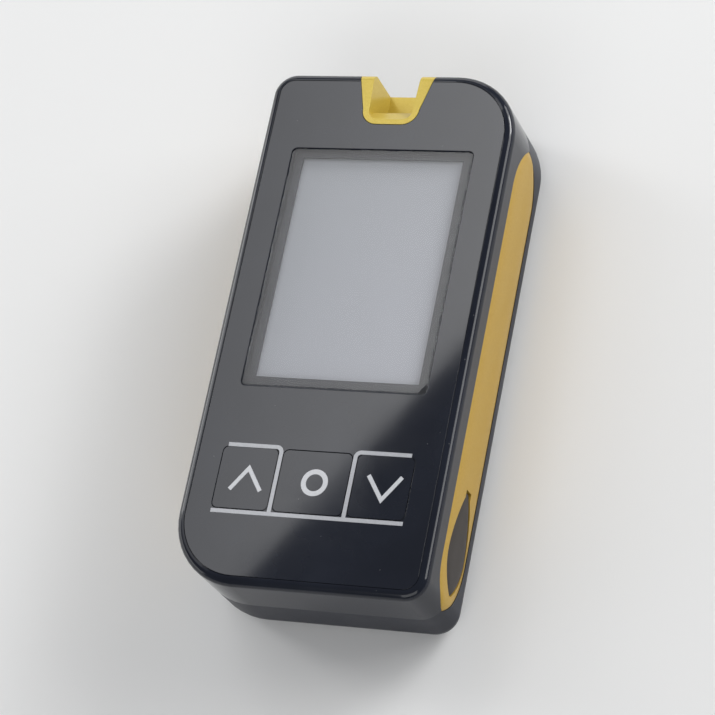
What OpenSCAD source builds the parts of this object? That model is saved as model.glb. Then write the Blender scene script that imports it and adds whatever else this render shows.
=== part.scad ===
// Blood glucose meter lying on its back: +Z out of the display, +Y to the strip port,
// +X to the side with the port cover. The origin is the centre of the back face.

/* [Case] */
// Width across the two side walls
case_w = 40; // [39:0.5:46]
// Length from the bottom end to the strip port end
case_l = 82.5; // [81:0.5:92]
// Thickness from the back face to the front face
case_t = 18; // [17.5:0.1:20]
// Corner radius at the top right and bottom left
corner_big = 10.5; // [8:0.5:12]
// Corner radius at the top left and bottom right
corner_small = 3.5; // [3.3:0.1:5]
// Radius rolled round the front edge
front_fillet = 1.3; // [0.8:0.1:1.3]
// Radius rolled round the back edge
back_fillet = 3; // [1.5:0.1:3.2]
// Side wall thickness
wall = 1.8; // [1.6:0.1:2]
// Height of the joint between the rear and front covers
seam_z = 9; // [8.6:0.1:9.4]
// Height of the lip that locates the front cover
lip_h = 1; // [0.6:0.1:1.4]
// Depth of the rebate that receives the lip
rebate = 0.8; // [0.7:0.05:0.85]
// Width of the front cover's rim round the face panel
rim = 1.3; // [1.3:0.1:1.6]
// Thickness of the deck under the face panel
deck_t = 1.6; // [1.2:0.1:1.8]

/* [Face and display] */
// Thickness of the face panel and display window
panel_t = 1.2; // [0.8:0.1:1.4]
// Distance from each side face to the clear window
window_side = 5.5; // [5:0.1:6.5]
// Panel between the strip port and the window
window_gap = 4.35; // [3.9:0.05:5]
// Panel between the window and the keys
window_keys = 9.7; // [9.2:0.1:12]
// Corner radius of the window
window_r = 0.8; // [0.4:0.1:2]
// Border between the window's side edge and the visible display
view_side = 1.7; // [1.3:0.1:3.5]
// Border between the window's end edge and the visible display
view_end = 1.5; // [1.1:0.1:3]
// Depth of the bezel over the display glass
bezel_t = 0.6; // [0.4:0.1:0.8]
// Thickness of the display glass
lcd_t = 1.8; // [1.2:0.1:2]
// Thickness of the light guide
guide_t = 1.6; // [1:0.1:1.8]
// Margin of the display glass round the visible area
lcd_margin = 2; // [1.5:0.1:2.2]
// Contact ledge of the glass beyond the light guide
lcd_ledge = 3.2; // [3:0.1:3.6]
// Wall of the display frame
frame_wall = 1.2; // [0.8:0.1:1.3]

/* [Keys] */
// Width of the middle key
main_key_w = 10.6; // [9:0.2:10.8]
// Distance from each side face to the bank of keys
keys_side = 5.2; // [5:0.1:6]
// Length of the keys
key_l = 9.4; // [8:0.2:9.8]
// Distance from the bottom end to the keys
key_end = 11.45; // [11.1:0.05:12]
// Web of the face panel between two keys
key_web = 0.66; // [0.6:0.05:0.9]
// Gap round each key
key_gap = 0.12; // [0.1:0.01:0.15]
// Corner radius of a key
key_r = 0.8; // [0.4:0.1:1.4]
// Travel of a key
key_travel = 0.5; // [0.3:0.05:0.55]
// Tab above and below each key that holds it under the face panel
key_tab = 0.7; // [0.5:0.1:0.8]
// Thickness of a key's foot and tabs
key_foot_t = 0.8; // [0.6:0.1:0.9]
// Radius of the post under a key
key_post_r = 1.5; // [1:0.1:1.8]
// Radius of a snap dome
dome_r = 2.6; // [2.4:0.1:2.7]
// Height left in a snap dome when its key is down
dome_rest = 0.2; // [0.15:0.05:0.3]
// Metal thickness of a snap dome
dome_t = 0.12; // [0.1:0.01:0.15]

/* [Strip port] */
// Half width of the strip port at the end of the case
port_top = 6.1; // [5.6:0.1:6.4]
// Half width of the strip port at its inner end
port_low = 4.5; // [4.3:0.1:4.8]
// Length of the strip port along the case
port_l = 8.6; // [8.4:0.1:9]
// Corner radius of the port's inner end
port_r = 2.5; // [1.5:0.1:2.8]
// Half width of the notch at the end of the case
notch_top = 3.8; // [3.6:0.1:4]
// Half width of the notch at its inner end
notch_low = 3.5; // [3.4:0.05:3.6]
// Length of the notch along the case
notch_l = 5.8; // [5:0.1:6]
// Depth of the notch below the face
notch_depth = 7.5; // [7:0.1:7.8]
// Width of the slot for the test strip
strip_w = 6.4; // [5.6:0.1:6.6]
// Height of the slot for the test strip
strip_h = 0.9; // [0.7:0.05:1]
// Width of the strip socket
socket_w = 10; // [9:0.2:11]
// Length of the strip socket
socket_l = 10; // [9:0.2:11]
// Plastic over the strip slot in the socket
socket_roof = 1; // [0.7:0.1:1.1]
// Number of strip contacts
contact_n = 5; // [3:1:6]
// Width of a strip contact
contact_w = 0.5; // [0.3:0.05:0.6]
// Thickness of a strip contact
contact_t = 0.2; // [0.15:0.05:0.25]
// How far a strip contact reaches into the slot
contact_l = 8; // [6:0.5:9]
// Length of a strip contact's foot on the board
contact_foot = 1.4; // [1:0.1:2]
// Length of the bump that presses on the strip
contact_bump = 2; // [1.6:0.2:3]

/* [Side trims] */
// Thickness of the side trims
trim_t = 0.9; // [0.9:0.05:1]
// Height of a trim's rear edge above the back
trim_low = 4; // [3.6:0.1:4.2]
// Height of a trim's front edge above the back
trim_high = 14; // [13.6:0.1:14.2]
// Distance from the big corner's end to the trim's point
trim_start = 8.2; // [7.8:0.1:9]
// Length of the trim's pointed end at the big corner
trim_nose = 8; // [6:0.2:9]
// Distance from the small corner's end to the trim's point
trim_end = 1.6; // [1.5:0.1:2]
// Length of the front curve at the small corner
tail_front = 6.2; // [5.6:0.1:7]
// Length of the rear curve at the small corner
tail_rear = 8.2; // [7.4:0.1:9]

/* [Port cover] */
// Length of the leaf shaped port cover
leaf_l = 15.4; // [14.6:0.1:16]
// Width of the port cover at its middle
leaf_w = 6; // [5.6:0.1:6.4]
// Distance from the bottom end to the port cover's point
leaf_end = 4.05; // [3.75:0.05:4.35]
// Gap round the port cover
leaf_gap = 0.12; // [0.1:0.01:0.15]
// Radius of the cover's hinge barrel
barrel_r = 0.36; // [0.3:0.01:0.37]
// Length of the hinge barrel
barrel_l = 1.8; // [1.4:0.1:2]
// Width of the data socket
usb_w = 7.4; // [7:0.1:7.6]
// Height of the data socket
usb_h = 2.6; // [2.4:0.1:2.8]
// Depth of the data socket
usb_d = 5; // [4.6:0.1:5.2]
// Metal thickness of the data socket
usb_t = 0.3; // [0.2:0.05:0.35]
// Room round the data socket in the side wall
usb_room = 0.5; // [0.4:0.05:0.6]
// Depth of the plug on the back of the cover
plug_d = 0.7; // [0.5:0.05:0.75]
// How much smaller than the socket the plug is on each side
plug_gap = 0.2; // [0.15:0.05:0.3]

/* [Board] */
// Height of the board's underside above the back
board_z = 6.3; // [6.2:0.05:6.4]
// Board thickness
board_t = 1; // [0.8:0.1:1.1]
// Gap between the board and the side walls
board_gap = 0.6; // [0.4:0.1:0.8]
// Radius of the buzzer
buzzer_r = 4.25; // [3.8:0.05:4.4]
// Height of the buzzer
buzzer_h = 2.1; // [1.8:0.1:2.4]
// Distance of the buzzer from the left wall
buzzer_side = 1.8; // [1.2:0.1:2.4]
// Gap between the buzzer and the screw pillar in its corner
buzzer_gap = 0.4; // [0.3:0.1:1]
// Radius of a sound hole
sound_r = 0.5; // [0.3:0.05:0.6]
// Radius of the ring of sound holes
sound_ring = 2.2; // [1.8:0.1:2.6]
// Thickness of the elastomer connector strip
zebra_t = 2; // [1.6:0.1:2.2]

/* [Coin cells and door] */
// Cell diameter
cell_d = 20; // [19.8:0.1:20.2]
// Cell height
cell_h = 3.2; // [3:0.1:3.3]
// Radial gap between a cell and its pocket
cell_gap = 0.3; // [0.25:0.05:0.35]
// Web between the two cell pockets
cell_web = 0.8; // [0.6:0.1:1.2]
// Distance from the bottom end to the first pocket
cells_end = 3.05; // [2.65:0.05:3.45]
// Step round a cell's edges
cell_step = 0.3; // [0.2:0.05:0.4]
// Margin round a cell's raised cap
cell_cap = 1.2; // [0.8:0.1:1.6]
// Length of the contact bar over each cell
bar_l = 12; // [8:0.5:14]
// Width of the contact bar
bar_w = 3; // [2.6:0.2:4]
// Radius of the bump on a contact bar
bar_bump = 1.2; // [0.8:0.1:1.3]
// Distance of a clip's edges from the faces of its cell
clip_edge = 0.6; // [0.4:0.1:0.8]
// Width of the door at the back face
door_w = 22.8; // [22:0.1:23.4]
// Door thickness
door_t = 1.6; // [1.5:0.1:1.65]
// How far the door's face sits in from the back
door_inset = 0.1; // [0.05:0.01:0.15]
// Width of each side tongue on the door
tongue_w = 1.2; // [0.8:0.1:1.3]
// Thickness of the side tongues
tongue_t = 0.8; // [0.6:0.05:0.85]
// Wall of the cell bay outside the door channel
bay_wall = 1.1; // [0.9:0.1:1.2]
// Bay beyond the cells at the inner end of the door
bay_end = 1.6; // [1.2:0.1:2]
// Thickness of the cell contacts
clip_t = 0.2; // [0.15:0.01:0.22]
// Width of the thumb grip on the door
grip_w = 14; // [8:1:16]
// Number of grooves in the thumb grip
grip_n = 6; // [3:1:6]
// Distance between two grip grooves
grip_pitch = 1.3; // [1:0.1:1.4]
// Width of a grip groove
grip_groove = 0.6; // [0.4:0.1:0.7]
// Depth of the grip grooves and the arrow
grip_depth = 0.3; // [0.2:0.05:0.4]
// Distance of the thumb grip from the bottom end
grip_end = 5; // [4:0.5:6]

/* [Screws] */
// Distance of the small corner screws from the two nearest outer faces
screw_small = 4.5; // [4.3:0.1:4.6]
// Distance of the big corner screws from the outer side face
screw_big_x = 4.8; // [4.7:0.1:5]
// Distance of the big corner screws from the end wall
screw_big_y = 8.2; // [7.8:0.1:8.8]
// Screw shank radius
shank_r = 0.8; // [0.7:0.02:0.86]
// Screw head radius
head_r = 1.7; // [1.5:0.05:1.8]
// Screw head height
head_h = 1.2; // [1:0.1:1.3]
// Depth of the screw seats in the back
seat_z = 3.2; // [2.8:0.1:3.4]
// Length of the screw under its head
shank_l = 9; // [8:0.2:10]
// Radius of the screw pillars
pillar_r = 2.3; // [2.2:0.05:2.4]

/* [Fits] */
// Gap between fixed pieces that drop into each other
fit = 0.08; // [0.05:0.01:0.1]
// Gap round the sliding door
slide_fit = 0.15; // [0.12:0.01:0.2]
// Radial gap of a turning barrel or a screw in its hole
turn_fit = 0.06; // [0.04:0.01:0.08]

/* [Hidden] */
eps = 0.01;
reach = 60;               // longer than any cut that runs out of the case
$fn = 72;
hull_fn = 48;             // sides of the discs that the case is hulled over
fillet_steps = 6;

black = "#1b1e26";
gloss = "#23262f";
gold = "#c39a3c";
pale_gold = "#d8c06c";
steel = "silver";

end_y = case_l / 2;
side_x = case_w / 2;
port_y = end_y - port_l;
panel_z = case_t - panel_t;             // underside of the face panel
deck_z = panel_z - deck_t;              // underside of the deck
bank_w = case_w - 2 * keys_side;
side_key_w = (bank_w - main_key_w) / 2 - key_web - 2 * key_gap;
side_key_x = (bank_w - side_key_w) / 2;
key_y = -end_y + key_end + key_l / 2;
window_w = case_w - 2 * window_side;
window_l = port_y - window_gap - window_keys - key_l / 2 - key_y;
window_y = port_y - window_gap - window_l / 2;
view_w = window_w - 2 * view_side;
view_l = window_l - 2 * view_end;
view_up = 0.3;                          // the display sits a touch high in its window
view_y = window_y + view_up;
lcd_z = panel_z - bezel_t - lcd_t;      // underside of the display glass
guide_z = lcd_z - guide_t;              // underside of the light guide
lcd_w = view_w + 2 * lcd_margin;
guide_l = view_l + 2 * lcd_margin;
lcd_l = guide_l + lcd_ledge;            // the ledge is at the end near the keys
lcd_y = view_y - lcd_ledge / 2;
frame_w = lcd_w + 2 * (fit + frame_wall);
frame_l = lcd_l + 2 * (fit + frame_wall);
leg_r = 1.1;
leg_x = frame_w / 2 - leg_r;
board_top = board_z + board_t;
dome_h = key_travel + dome_rest;
foot_z = panel_z - fit - key_foot_t;    // underside of a key's foot
bank_gap = 0.3;                         // room round the bank of keys in the deck
notch_z = case_t - notch_depth;
leaf_y = -end_y + leaf_end + leaf_l / 2;
leaf_z = board_top + usb_h / 2;
trim_x = side_x - trim_t;               // inner face of a side trim
leaf_top = leaf_y + leaf_l / 2;
barrel_x = side_x - trim_t / 2;
barrel_y = leaf_top - barrel_r;
cell_r = cell_d / 2;
pocket_r = cell_r + cell_gap;
cells_y = -end_y + cells_end + 2 * pocket_r + cell_web / 2;
pocket_y = [cells_y - pocket_r - cell_web / 2, cells_y + pocket_r + cell_web / 2];
door_top = door_inset + door_t;
tongue_x = door_w / 2 + tongue_w;
tongue_z = door_top - tongue_t;
cell_z = door_top + slide_fit + 0.1;
pocket_top = cell_z + cell_h + 2 * clip_t;
bay_w = 2 * (tongue_x + slide_fit + bay_wall);
door_end = pocket_y[1] + pocket_r + bay_end;
screw_small_at = [side_x - screw_small, end_y - screw_small];
screw_big_at = [side_x - screw_big_x, end_y - screw_big_y];
screws = [[-screw_small_at[0], screw_small_at[1]], [screw_small_at[0], -screw_small_at[1]],
    screw_big_at, -screw_big_at];
buzzer_at = [-side_x + wall + buzzer_side + buzzer_r, screw_small_at[1] - pillar_r - buzzer_gap - buzzer_r];
seat_room = 0.3;          // room round a screw head in its seat
bore_past = 0.5;          // how far a screw's hole runs past its tip
chip_sizes = [            // x, y, width, length, height and leads on each side
    [0, 8, 8, 8, 1.2, 8],
    [-9, -4, 5, 4, 1, 4],
    [9, 0, 4, 5, 1, 4],
    [9, 14, 3, 4, 0.9, 3]];
capacitor = [1.6, 0.8, 0.6];
capacitor_at = [-6, 16.5]; // the first of the row
capacitor_pitch = 3;

// Points of an arc in degrees
function arc(cx, cy, r, from, to, n) = [for (i = [0:n]) let (a = from + (to - from) * i / n)
    [cx + r * cos(a), cy + r * sin(a)]];

// Radius of an arc that runs a length along and drops a height, starting level
function drop_r(along, down) = (along * along + down * down) / (2 * down);

// A rectangle with round corners, centred
module round_rect(w, l, r) {
    square([w - 2 * r, l], center = true);
    square([w, l - 2 * r], center = true);
    for (x = [-1, 1], y = [-1, 1]) translate([x * (w / 2 - r), y * (l / 2 - r)]) circle(r);
}

// The case outline, drawn in by inset: two big and two small corners, alike after a half turn
module outline(inset = 0) {
    x = side_x - inset;
    y = end_y - inset;
    b = corner_big - inset;
    s = max(corner_small - inset, 0.6);
    for (turn = [0, 180]) rotate(turn) {
        translate([x - b, y - b]) circle(b);
        translate([x - s, -y + s]) circle(s);
        translate([-x + s, -1]) square([2 * x - b - s, y + 1]);
        translate([-1, -y + s]) square([x + 1, 2 * y - b - s]);
    }
}

// One corner of the case as a disc with its two edges rolled over
module corner_disc(r) {
    rotate_extrude($fn = hull_fn)
        polygon(concat([[0, 0]], arc(r - back_fillet, back_fillet, back_fillet, -90, 0, fillet_steps),
            arc(r - front_fillet, case_t - front_fillet, front_fillet, 0, 90, fillet_steps), [[0, case_t]]));
}

// The whole case as one smooth block
module case_block() {
    x = side_x;
    y = end_y;
    hull() {
        for (turn = [0, 180]) rotate(turn) {
            translate([x - corner_big, y - corner_big, 0]) corner_disc(corner_big);
            translate([x - corner_small, -y + corner_small, 0]) corner_disc(corner_small);
        }
    }
}

// A slab between two heights, wider than the case
module slab(from, to) {
    translate([-reach, -reach, from]) cube([2 * reach, 2 * reach, to - from]);
}

// A shape drawn in Y and Z, pushed along +X between two values
module along_x(from, to) {
    translate([from, 0, 0]) rotate([90, 0, 90]) linear_extrude(to - from) children();
}

// Side view of a trim: level edges, a pointed nose at the big corner and a curved tail at the small one
module trim_side() {
    nose = end_y - trim_start;
    tail = -end_y + trim_end;
    half = (trim_high - trim_low) / 2;
    nose_r = drop_r(trim_nose, half);
    nose_a = asin(trim_nose / nose_r);
    front_h = trim_high - leaf_z;
    rear_h = leaf_z - trim_low;
    front_r = drop_r(tail_front, front_h);
    rear_r = drop_r(tail_rear, rear_h);
    polygon(concat(
        arc(nose - trim_nose, trim_low + nose_r, nose_r, -90, -90 + nose_a, 8),
        arc(nose - trim_nose, trim_high - nose_r, nose_r, 90 - nose_a, 90, 8),
        arc(tail + tail_front, trim_high - front_r, front_r, 90, 90 + asin(tail_front / front_r), 8),
        arc(tail + tail_rear, trim_low + rear_r, rear_r, 270 - asin(tail_rear / rear_r), 270, 8)));
}

// The recess for a trim on the right side: everything outside the trim's inner face
module trim_recess() {
    difference() {
        along_x(0, reach) trim_side();
        linear_extrude(case_t) outline(trim_t);
    }
}

// A side trim that follows the wall round both corners
module trim() {
    intersection() {
        along_x(0, reach) trim_side();
        linear_extrude(case_t) difference() {
            outline();
            outline(trim_t);
        }
    }
}

// The pointed leaf of the port cover, grown by a gap
module leaf(grow = 0) {
    h = leaf_w / 2;
    r = drop_r(leaf_l / 2, h);
    translate([leaf_y, leaf_z]) intersection() {
        translate([0, r - h]) circle(r + grow);
        translate([0, h - r]) circle(r + grow);
    }
}

// The mouth of the data socket in Y and Z
module usb_mouth(grow = 0) {
    translate([leaf_y, leaf_z]) round_rect(usb_w + 2 * grow, usb_h + 2 * grow, 0.6 + grow);
}

// The strip port seen from the front: flared to the end of the case, with round inner corners
module port_outline(grow = 0) {
    y = port_y + port_r;
    top = port_top + grow;
    core = port_low - port_r;
    r = port_r + grow;
    polygon(concat([[-top, end_y + grow]], arc(-core, y, r, 180, 270, 10), arc(core, y, r, 270, 360, 10),
        [[top, end_y + grow]]));
}

module at_screws() {
    for (p = screws) translate([p[0], p[1], 0]) children();
}

module at_cells() {
    for (y = pocket_y) translate([0, y, 0]) children();
}

// ---- Case ----

module front_cover() {
    color(black) difference() {
        union() {
            difference() {
                intersection() {
                    case_block();
                    slab(seam_z, case_t + 1);
                }
                translate([0, 0, seam_z - 1]) linear_extrude(deck_z - seam_z + 1) outline(wall);
                translate([0, 0, seam_z - 1]) linear_extrude(lip_h + fit + 1) outline(rebate);
            }
            at_screws() translate([0, 0, board_top]) cylinder(r = pillar_r, h = deck_z - board_top + eps);
        }
        translate([0, 0, panel_z]) linear_extrude(panel_t + 1) outline(rim);
        translate([0, lcd_y, deck_z - 1]) linear_extrude(deck_t + 2)
            square([frame_w + 2 * fit, frame_l + 2 * fit], center = true);
        translate([0, key_y, deck_z - 1]) linear_extrude(deck_t + 2)
            square([bank_w + 2 * bank_gap, key_l + 2 * (key_tab + bank_gap)], center = true);
        translate([0, 0, seam_z - 1]) linear_extrude(case_t) port_outline(fit);
        for (turn = [0, 180]) rotate(turn) trim_recess();
        along_x(0, reach) usb_mouth(usb_room);
        at_screws() translate([0, 0, board_top - 1])
            cylinder(r = shank_r + turn_fit, h = 1 + seat_z + shank_l + bore_past - board_top);
    }
}

module face_panel() {
    color(gloss) translate([0, 0, panel_z]) linear_extrude(panel_t) difference() {
        outline(rim + fit);
        translate([0, window_y]) round_rect(window_w + 2 * fit, window_l + 2 * fit, window_r + fit);
        port_outline(fit);
        translate([0, key_y]) round_rect(main_key_w + 2 * key_gap, key_l + 2 * key_gap, key_r + key_gap);
        for (x = [-side_key_x, side_key_x]) translate([x, key_y])
            round_rect(side_key_w + 2 * key_gap, key_l + 2 * key_gap, key_r + key_gap);
    }
}

module rear_cover() {
    channel_w = 2 * (door_w / 2 + slide_fit);
    color(black) difference() {
        union() {
            difference() {
                intersection() {
                    case_block();
                    slab(-1, seam_z);
                }
                translate([0, 0, wall]) linear_extrude(case_t) outline(wall);
            }
            translate([0, 0, seam_z - wall]) linear_extrude(lip_h + wall) difference() {
                outline(rebate + fit);
                outline(wall);
            }
            intersection() {
                case_block();
                translate([-bay_w / 2, -end_y, 0]) cube([bay_w, end_y + door_end + bay_wall, board_z]);
            }
            at_screws() cylinder(r = pillar_r, h = board_z);
        }
        // the channel that the door slides in, open at the bottom end
        translate([-channel_w / 2, -reach, -1]) cube([channel_w, reach + door_end + slide_fit, door_top + 1]);
        translate([-tongue_x - slide_fit, -reach, tongue_z - slide_fit])
            cube([2 * (tongue_x + slide_fit), reach + door_end + slide_fit, tongue_t + 2 * slide_fit]);
        at_cells() cylinder(r = pocket_r, h = pocket_top);
        // screw seats
        at_screws() {
            translate([0, 0, -1]) cylinder(r = head_r + seat_room, h = seat_z + 1);
            cylinder(r = shank_r + 3 * turn_fit, h = board_z + 1);
        }
        // sound holes under the buzzer
        translate([buzzer_at[0], buzzer_at[1], -1]) {
            cylinder(r = sound_r, h = wall + 2, $fn = 24);
            for (i = [0:5]) rotate(i * 60) translate([sound_ring, 0, 0])
                cylinder(r = sound_r, h = wall + 2, $fn = 24);
        }
        for (turn = [0, 180]) rotate(turn) trim_recess();
        along_x(0, reach) usb_mouth(usb_room);
        translate([0, 0, seam_z]) linear_extrude(lip_h + 1) port_outline(fit);
    }
}

module left_trim() {
    color(gold) rotate(180) trim();
}

module right_trim() {
    color(gold) difference() {
        trim();
        along_x(0, reach) leaf(leaf_gap);
        translate([barrel_x, barrel_y, leaf_z - barrel_l / 2 - leaf_gap])
            cylinder(r = barrel_r + turn_fit, h = barrel_l + 2 * leaf_gap);
        // room outside the barrel for the cover's outer face as it swings out
        translate([barrel_x, barrel_y - 1, leaf_z - barrel_l / 2 - leaf_gap])
            cube([trim_t, 1 + trim_t / 2 + leaf_gap, barrel_l + 2 * leaf_gap]);
    }
}

module case_screws() {
    color(steel) at_screws() {
        translate([0, 0, seat_z]) cylinder(r = shank_r, h = shank_l);
        translate([0, 0, seat_z - head_h]) difference() {
            cylinder(r = head_r, h = head_h);
            for (a = [0, 90]) rotate(a) translate([-head_r * 0.6, -0.2, -1]) cube([head_r * 1.2, 0.4, 1.6]);
        }
    }
}

// ---- Display ----

module display_window() {
    color("lightsteelblue", 0.4) translate([0, window_y, panel_z]) linear_extrude(panel_t)
        round_rect(window_w, window_l, window_r);
}

module display_frame() {
    color(black) {
        translate([0, 0, guide_z]) difference() {
            translate([0, lcd_y, 0]) linear_extrude(panel_z - guide_z)
                square([frame_w, frame_l], center = true);
            translate([0, lcd_y, -1]) linear_extrude(guide_t + lcd_t + 1)
                square([lcd_w + 2 * fit, lcd_l + 2 * fit], center = true);
            translate([0, view_y, 0]) linear_extrude(case_t) square([view_w, view_l], center = true);
        }
        for (x = [-leg_x, leg_x], y = [lcd_y - frame_l / 2 + leg_r, lcd_y + frame_l / 4])
            translate([x, y, board_top]) cylinder(r = leg_r, h = guide_z - board_top);
    }
}

module display_glass() {
    color("#a8aaaf") translate([0, lcd_y, lcd_z]) linear_extrude(lcd_t) square([lcd_w, lcd_l], center = true);
}

module light_guide() {
    color("white") translate([0, view_y, guide_z]) linear_extrude(guide_t)
        square([lcd_w, guide_l], center = true);
}

module elastomer_strip() {
    color("dimgray") translate([0, lcd_y - lcd_l / 2 + lcd_ledge / 2, board_top])
        linear_extrude(lcd_z - board_top) square([view_w, zebra_t], center = true);
}

// ---- Board ----

module main_board() {
    color("#1f5a3a") difference() {
        translate([0, 0, board_z]) linear_extrude(board_t) outline(wall + board_gap);
        at_screws() translate([0, 0, board_z - 1]) cylinder(r = shank_r + 0.4, h = board_t + 2);
    }
}

// A chip body with a row of leads down each side
module chip(w, l, h, leads) {
    pitch = l / (leads + 1);
    translate([-w / 2, -l / 2, 0]) cube([w, l, h]);
    for (i = [1:leads], side = [-1, 1]) translate([side * (w / 2 + 0.3) - 0.3, -l / 2 + i * pitch - 0.2, 0])
        cube([0.6, 0.4, 0.3]);
}

module board_chips() {
    color("#2a2a2e") translate([0, 0, board_top]) {
        for (c = chip_sizes) translate([c[0], c[1], 0]) chip(c[2], c[3], c[4], c[5]);
        // a row of small capacitors
        for (i = [0:4]) translate([capacitor_at[0] + i * capacitor_pitch, capacitor_at[1], 0])
            cube(capacitor);
    }
}

// A snap dome on the board under a key
module dome(x) {
    r = drop_r(dome_r, dome_h);
    color(steel) translate([x, key_y, board_top]) difference() {
        intersection() {
            translate([0, 0, dome_h - r]) sphere(r);
            cylinder(r = dome_r, h = dome_h);
        }
        translate([0, 0, dome_h - r]) sphere(r - dome_t);
    }
}

module up_dome() {
    dome(-side_key_x);
}

module main_dome() {
    dome(0);
}

module down_dome() {
    dome(side_key_x);
}

module buzzer() {
    color("#222222") translate([buzzer_at[0], buzzer_at[1], board_z - buzzer_h]) difference() {
        cylinder(r = buzzer_r, h = buzzer_h);
        translate([0, 0, -1]) cylinder(r = 0.9, h = 1.8);
    }
}

module data_socket() {
    color(steel) difference() {
        along_x(side_x - wall - fit - usb_d, side_x - wall - fit) usb_mouth();
        difference() {
            along_x(side_x - wall - fit - usb_d + 0.6, side_x) usb_mouth(-usb_t);
            // the tongue that carries the contacts
            translate([side_x - wall - usb_d, leaf_y - usb_w / 2 + 1.6, leaf_z - 0.3])
                cube([usb_d - 0.8, usb_w - 3.2, 0.6]);
        }
    }
}

// ---- Test strip ----

module strip_port() {
    y = end_y - notch_l;
    color(pale_gold) difference() {
        intersection() {
            case_block();
            translate([0, 0, seam_z]) linear_extrude(case_t) port_outline();
        }
        translate([0, 0, notch_z]) linear_extrude(case_t)
            polygon([[-notch_top, end_y + 1], [notch_top, end_y + 1], [notch_low, y], [-notch_low, y]]);
        translate([-strip_w / 2, port_y - 1, notch_z]) cube([strip_w, port_l, strip_h]);
    }
}

module strip_socket() {
    color("ivory") difference() {
        translate([-socket_w / 2, port_y - socket_l, board_top])
            cube([socket_w, socket_l, notch_z + strip_h + socket_roof - board_top]);
        translate([-strip_w / 2, port_y - socket_l - 1, notch_z]) cube([strip_w, socket_l + 2, strip_h]);
    }
}

// Leaf contacts in the roof of the slot, each with a foot on the board behind the socket
module strip_contacts() {
    back = port_y - socket_l;
    top = notch_z + strip_h;
    low = top - contact_t;
    tip = back + contact_l;
    foot_top = board_top + contact_t;
    pitch = strip_w / contact_n;
    color(gold) for (i = [0:contact_n - 1]) {
        x = (i - (contact_n - 1) / 2) * pitch;
        along_x(x - contact_w / 2, x + contact_w / 2)
            polygon([[back - contact_foot, board_top], [back, board_top], [back, low],
                [tip - contact_bump, low], [tip - contact_bump / 2, low - 1.5 * contact_t], [tip, low],
                [tip, top], [back - contact_t, top], [back - contact_t, foot_top],
                [back - contact_foot, foot_top]]);
    }
}

// ---- Power ----

module coin_cells() {
    shoulder = cell_h - cell_step;
    color(steel) at_cells() translate([0, 0, cell_z]) rotate_extrude()
        polygon([[0, 0], [cell_r - cell_step, 0], [cell_r, cell_step], [cell_r, shoulder],
            [cell_r - cell_cap + cell_step, shoulder], [cell_r - cell_cap, cell_h], [0, cell_h]]);
}

// A leaf on each pocket's roof that presses on the cell
module cell_contacts() {
    color("#c8c8c0") at_cells() {
        translate([-bar_w / 2, -bar_l / 2, pocket_top - clip_t]) cube([bar_w, bar_l, clip_t]);
        translate([0, 0, pocket_top - 2 * clip_t]) cylinder(r = bar_bump, h = clip_t + eps);
    }
}

// A curved clip on each pocket's wall, a hair off the cell's rim
module cell_clips() {
    color("#c8c8c0") at_cells() translate([0, 0, cell_z + clip_edge]) difference() {
        cylinder(r = pocket_r, h = cell_h - 2 * clip_edge);
        translate([0, 0, -cell_h]) cylinder(r = pocket_r - clip_t, h = 3 * cell_h);
        translate([-reach, -reach, -cell_h]) cube([reach + pocket_r * 0.85, 2 * reach, 3 * cell_h]);
    }
}

module battery_door() {
    cut = 1 + door_inset + grip_depth;
    arrow_y = -end_y + grip_end + grip_n * grip_pitch + 2.7;
    color(black) difference() {
        intersection() {
            case_block();
            union() {
                translate([-door_w / 2, -end_y, door_inset]) cube([door_w, end_y + door_end, door_t]);
                translate([-tongue_x, -end_y, tongue_z]) cube([2 * tongue_x, end_y + door_end, tongue_t]);
            }
        }
        // thumb grip and an arrow that shows which way the door comes off
        for (i = [0:grip_n - 1]) translate([-grip_w / 2, -end_y + grip_end + grip_pitch * i, -1])
            cube([grip_w, grip_groove, cut]);
        translate([0, arrow_y, -1]) linear_extrude(cut) polygon([[-3, 1.8], [3, 1.8], [0, -1.2]]);
    }
}

// ---- Keys and cover ----

// A flush key cap with a foot under the face panel and a post down to its dome
module key(x, w) {
    post_z = board_top + dome_h + fit;
    color(gloss) translate([x, key_y, 0]) {
        translate([0, 0, foot_z + key_foot_t / 2]) linear_extrude(case_t - foot_z - key_foot_t / 2)
            round_rect(w, key_l, key_r);
        translate([0, 0, foot_z]) linear_extrude(key_foot_t) square([w, key_l + 2 * key_tab], center = true);
        translate([0, 0, post_z]) cylinder(r = key_post_r, h = foot_z - post_z + eps);
    }
}

module up_key() {
    key(-side_key_x, side_key_w);
}

module main_key() {
    key(0, main_key_w);
}

module down_key() {
    key(side_key_x, side_key_w);
}

module port_cover() {
    color("#2b2420") {
        difference() {
            along_x(trim_x + fit, side_x) leaf();
            // round off the pointed end at the hinge
            translate([trim_x - 1, barrel_y, 0]) cube([trim_t + 2, reach, case_t]);
        }
        translate([barrel_x, barrel_y, leaf_z - barrel_l / 2]) cylinder(r = barrel_r, h = barrel_l);
        along_x(trim_x + fit - plug_d, trim_x + fit + eps) usb_mouth(-plug_gap);
    }
}

front_cover();
face_panel();
display_window();
display_frame();
display_glass();
light_guide();
elastomer_strip();
main_board();
board_chips();
up_dome();
main_dome();
down_dome();
buzzer();
strip_port();
strip_socket();
strip_contacts();
data_socket();
left_trim();
right_trim();
rear_cover();
coin_cells();
cell_contacts();
cell_clips();
case_screws();
battery_door();
up_key();
main_key();
down_key();
port_cover();
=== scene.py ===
"""Looks of a pocket blood glucose meter, laid over its CAD frame.

The meter lies on its back: +Z out of the display, +Y to the strip port, +X to the port cover.
Lengths named here are in millimetres, and MM turns them into metres.
"""
import bpy, bmesh, math
from mathutils import Matrix, Quaternion, Vector


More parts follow.
